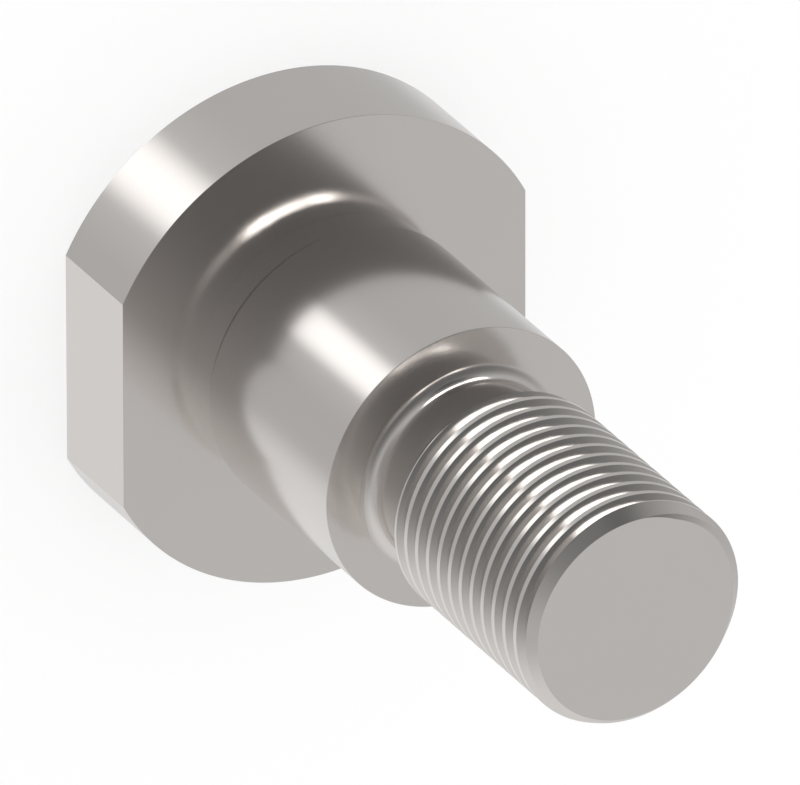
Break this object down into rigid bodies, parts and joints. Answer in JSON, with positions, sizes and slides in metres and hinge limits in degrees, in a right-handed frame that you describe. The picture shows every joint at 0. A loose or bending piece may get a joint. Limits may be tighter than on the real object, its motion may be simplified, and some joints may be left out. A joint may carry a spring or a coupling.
{
  "type": "shoulder bolt",
  "caption": "Steel shoulder bolt turned in one piece: round head with milled flats, plain shoulder, relief groove and fine thread.",
  "frame": {"origin": "centre of the head's outer face, which the bolt stands on", "axes": "+Z along the bolt's axis, from the head to the tip of the thread; the head's flats are square to X"},
  "size_m": [0.03, 0.0336, 0.0476],
  "materials": {
    "steel": "fine turned, bright"
  },
  "bodies": {
    "root": {"bolt": "steel"}
  },
  "joints": []
}
